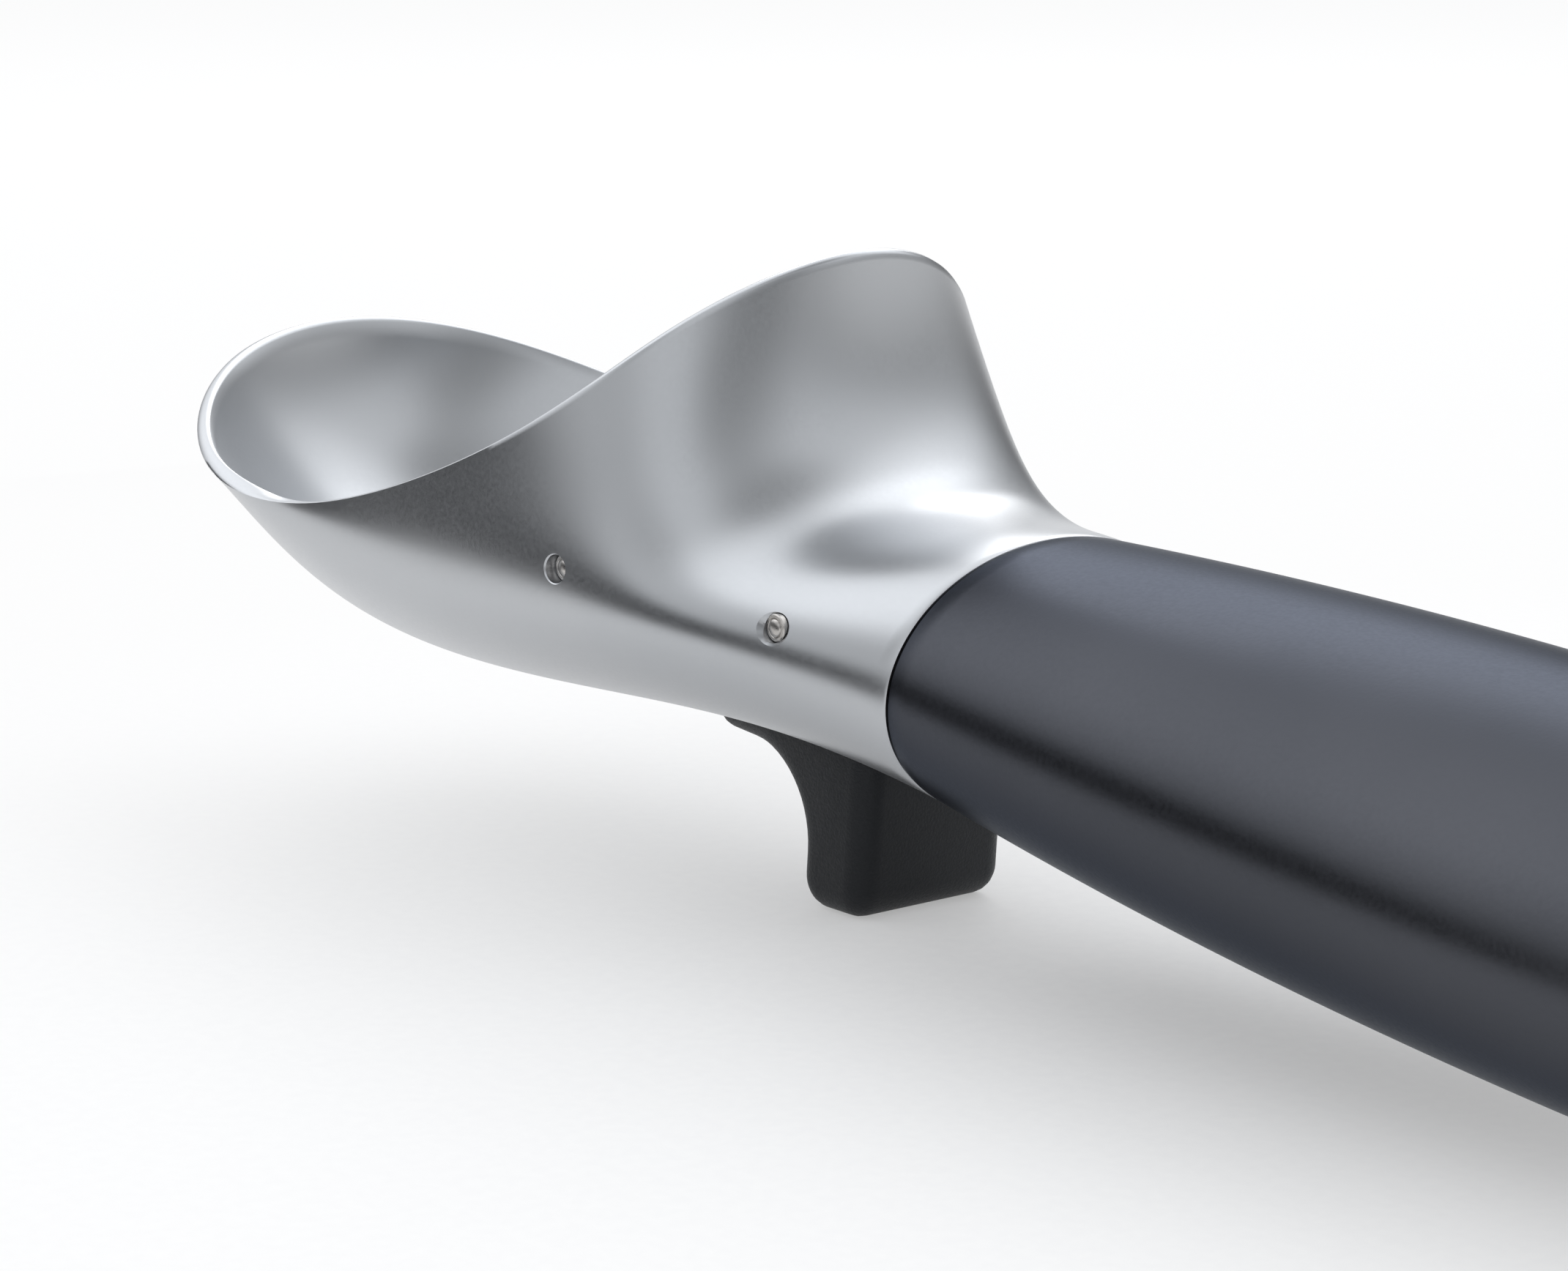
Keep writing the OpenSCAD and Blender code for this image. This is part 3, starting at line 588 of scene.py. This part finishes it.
WHITE = finish("white_plastic", 0.0, ((0.78, 0.77, 0.72), (0.84, 0.83, 0.79)), (0.35, 0.45), 2500, 0.00001)
RUBBER = finish("black_rubber", 0.0, ((0.015, 0.015, 0.016), (0.024, 0.024, 0.025)), (0.6, 0.8), 3500,
                0.00003)
BRASS = finish("brass", 1.0, ((0.70, 0.50, 0.22), (0.78, 0.58, 0.28)), (0.25, 0.35), 2200, 0.000006)


# Pieces
def dress(obj, material, slot_name, body, *nodes):
    """Gives a piece its finish and body, in place of CAD nodes."""
    obj.data.materials.clear()
    obj.data.materials.append(material)
    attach(obj, body)
    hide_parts(*nodes)


dress(make_head(), SATIN, "head_metal", "scoop", "scoop_head")
dress(make_handle(), ANODISED, "handle_metal", "scoop", "handle_shell")
dress(make_grip(), BLACK, "grip_plastic", "trigger", "trigger_grip")
dress(make_plate(), STEEL, "plate_steel", "ejector", "ejector_plate")
trigger_pin, ejector_pins = make_pins()
dress(trigger_pin, PIN, "pin_steel", "scoop", "trigger_pin")
dress(ejector_pins, PIN, "pin_steel", "scoop", "ejector_pins")

# CAD nodes that stay, with their finishes
CARRIED = {
    "throat_cover": STEEL, "stop_bumper": RUBBER, "ejector_washers": WHITE,
    "drive_pin": PIN, "drive_rollers": WHITE, "trigger_lever": STEEL, "trigger_bushes": WHITE,
    "spacer_sleeves": WHITE, "return_spring": DARK_STEEL, "neck_plug": SATIN,
    "plug_seal": RUBBER, "tie_bolt": STEEL, "lock_washer": DARK_STEEL, "dowel_pins": STEEL,
    "threaded_insert": BRASS,
}
for node, material in CARRIED.items():
    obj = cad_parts[node]
    obj.data.materials.clear()
    obj.data.materials.append(material)


# Floor, light and camera
# Brightness of the room by the sine of the height above the horizon
ROOM_LEVELS = [(0.0, 0.22), (0.12, 0.45), (0.28, 0.88), (0.6, 0.95), (1.0, 0.85)]
# Dim and bright patches of the room: heading, height and radius in degrees, and level against the rest
ROOM_PATCHES = [(157, 19, 28, 0.4), (172, 62, 28, 0.45), (-70, 12, 26, 0.4), (-97, 46, 36, 1.6),
                (22, 50, 44, 1.8), (78, 34, 20, 0.55), (-76, 52, 26, 1.5)]
FLOOR_HALF = 9.0
# Radii between which the floor turns from a lit surface to plain white, in metres
FLOOR_FADE = (0.0, 0.15)
# Share of the white at those two radii
FLOOR_GLOW = (0.28, 0.85)
# Top edge of the dark card beside the scoop, in metres
CARD_PATH = [(0.0, 0.10, 0.02), (0.05, 0.10, 0.034), (0.14, 0.10, 0.045), (0.20, 0.08, 0.042),
             (0.24, 0.0, 0.03), (0.22, -0.1, 0.024)]
# Camera solved from the photo's outline, in degrees and metres
CAMERA_PITCH, CAMERA_HEADING, CAMERA_ROLL = 11.95, -38.46, 0.09
CAMERA_PLACE = (-0.20795, 0.19998, 0.08572)


def make_floor():
    """Pale floor that keeps the object's shadow and turns plain white far from it."""
    corners = [(-FLOOR_HALF, -FLOOR_HALF, 0), (FLOOR_HALF, -FLOOR_HALF, 0),
               (FLOOR_HALF, FLOOR_HALF, 0), (-FLOOR_HALF, FLOOR_HALF, 0)]
    mesh = bpy.data.meshes.new("floor")
    mesh.from_pydata(corners, [], [(0, 1, 2, 3)])
    floor = bpy.data.objects.new("floor", mesh)
    bpy.context.scene.collection.objects.link(floor)
    material, shader = new_material("floor", 0.0, 0.7)
    tree = material.node_tree
    soft = noise(tree, 900, 2)
    colour = two_tone(tree, between(tree, soft, 0, 1), (0.88, 0.88, 0.885), (0.91, 0.91, 0.91))
    tree.links.new(colour, shader.inputs["Base Color"])

    place = tree.nodes.new("ShaderNodeTexCoord")
    distance = tree.nodes.new("ShaderNodeVectorMath")
    distance.operation = "LENGTH"
    tree.links.new(place.outputs["Object"], distance.inputs[0])
    share = map_range(tree, distance.outputs["Value"], FLOOR_FADE, FLOOR_GLOW)
    path = tree.nodes.new("ShaderNodeLightPath")
    mirrored = calculate(tree, "MAXIMUM", path.outputs["Is Glossy Ray"], path.outputs["Is Transmission Ray"])
    seen = calculate(tree, "MAXIMUM", path.outputs["Is Camera Ray"], mirrored)
    white = tree.nodes.new("ShaderNodeEmission")
    white.inputs["Color"].default_value = (0.97, 0.97, 0.97, 1)
    mix = tree.nodes.new("ShaderNodeMixShader")
    tree.links.new(calculate(tree, "MULTIPLY", share, seen), mix.inputs["Fac"])
    tree.links.new(shader.outputs["BSDF"], mix.inputs[1])
    tree.links.new(white.outputs["Emission"], mix.inputs[2])
    tree.links.new(mix.outputs["Shader"], tree.nodes["Material Output"].inputs["Surface"])
    floor.data.materials.append(material)


def make_card():
    """Low dark card beside the scoop, which only mirrors show, as a dark band in the metal."""
    corners = [(x, y, 0.0) for x, y, top in CARD_PATH] + CARD_PATH
    count = len(CARD_PATH)
    faces = [(i, i + 1, count + i + 1, count + i) for i in range(count - 1)]
    mesh = bpy.data.meshes.new("card")
    mesh.from_pydata(corners, [], faces)
    card = bpy.data.objects.new("card", mesh)
    bpy.context.scene.collection.objects.link(card)
    material, shader = new_material("card", 0.0, 0.9)
    tree = material.node_tree
    colour = two_tone(tree, noise(tree, 60), (0.02, 0.02, 0.022), (0.03, 0.03, 0.033))
    tree.links.new(colour, shader.inputs["Base Color"])
    card.data.materials.append(material)
    card.visible_camera = card.visible_diffuse = card.visible_shadow = False


def direction(heading, height):
    """Unit vector from two angles in degrees."""
    a, b = math.radians(heading), math.radians(height)
    return Vector((math.cos(a) * math.cos(b), math.sin(a) * math.cos(b), math.sin(b)))


def make_world():
    """Dark round the horizon and pale above, with dimmer and brighter patches."""
    world = bpy.data.worlds.new("studio")
    world.use_nodes = True
    tree = world.node_tree
    place = tree.nodes.new("ShaderNodeTexCoord")
    parts = tree.nodes.new("ShaderNodeSeparateXYZ")
    ramp = tree.nodes.new("ShaderNodeValToRGB")
    ramp.color_ramp.elements.remove(ramp.color_ramp.elements[1])
    ramp.color_ramp.elements[0].position = ROOM_LEVELS[0][0]
    ramp.color_ramp.elements[0].color = (*[ROOM_LEVELS[0][1]] * 3, 1)
    for at, level in ROOM_LEVELS[1:]:
        ramp.color_ramp.elements.new(at).color = (level * 0.985, level, level * 1.02, 1)
    strength = None
    for heading, height, radius, level in ROOM_PATCHES:
        toward = tree.nodes.new("ShaderNodeVectorMath")
        toward.operation = "DOT_PRODUCT"
        toward.inputs[1].default_value = direction(heading, height)
        tree.links.new(place.outputs["Generated"], toward.inputs[0])
        edge = (math.cos(math.radians(radius)), math.cos(math.radians(radius / 3)))
        patch = map_range(tree, toward.outputs["Value"], edge, (1.0, level))
        strength = calculate(tree, "MULTIPLY", strength, patch) if strength else patch
    tree.links.new(place.outputs["Generated"], parts.inputs["Vector"])
    tree.links.new(parts.outputs["Z"], ramp.inputs["Fac"])
    back = tree.nodes["Background"]
    tree.links.new(ramp.outputs["Color"], back.inputs["Color"])
    tree.links.new(strength, back.inputs["Strength"])
    bpy.context.scene.world = world


def soft_light(name, place, target, size, watts):
    """Rectangular lamp at a place, turned to its target; both in metres."""
    data = bpy.data.lights.new(name, "AREA")
    data.shape = "RECTANGLE"
    data.size, data.size_y = size
    data.energy = watts
    lamp = bpy.data.objects.new(name, data)
    lamp.location = place
    lamp.rotation_mode = "QUATERNION"
    lamp.rotation_quaternion = (Vector(target) - Vector(place)).to_track_quat("-Z", "Y")
    bpy.context.scene.collection.objects.link(lamp)


def make_camera():
    data = bpy.data.cameras.new("camera")
    data.lens = 100
    data.sensor_width = 36
    data.sensor_fit = "HORIZONTAL"
    data.clip_start = 0.01
    camera = bpy.data.objects.new("camera", data)
    turn = (Matrix.Rotation(math.radians(CAMERA_HEADING - 90), 4, "Z")
            @ Matrix.Rotation(math.radians(90 - CAMERA_PITCH), 4, "X")
            @ Matrix.Rotation(math.radians(-CAMERA_ROLL), 4, "Z"))
    camera.matrix_world = Matrix.Translation(CAMERA_PLACE) @ turn
    bpy.context.scene.collection.objects.link(camera)
    bpy.context.scene.camera = camera


make_floor()
make_world()
make_card()
soft_light("back", (0.58, -0.50, 0.48), (0, 0, 0.02), (0.5, 0.4), 1.4)
make_camera()
bpy.context.scene.view_settings.view_transform = "Standard"
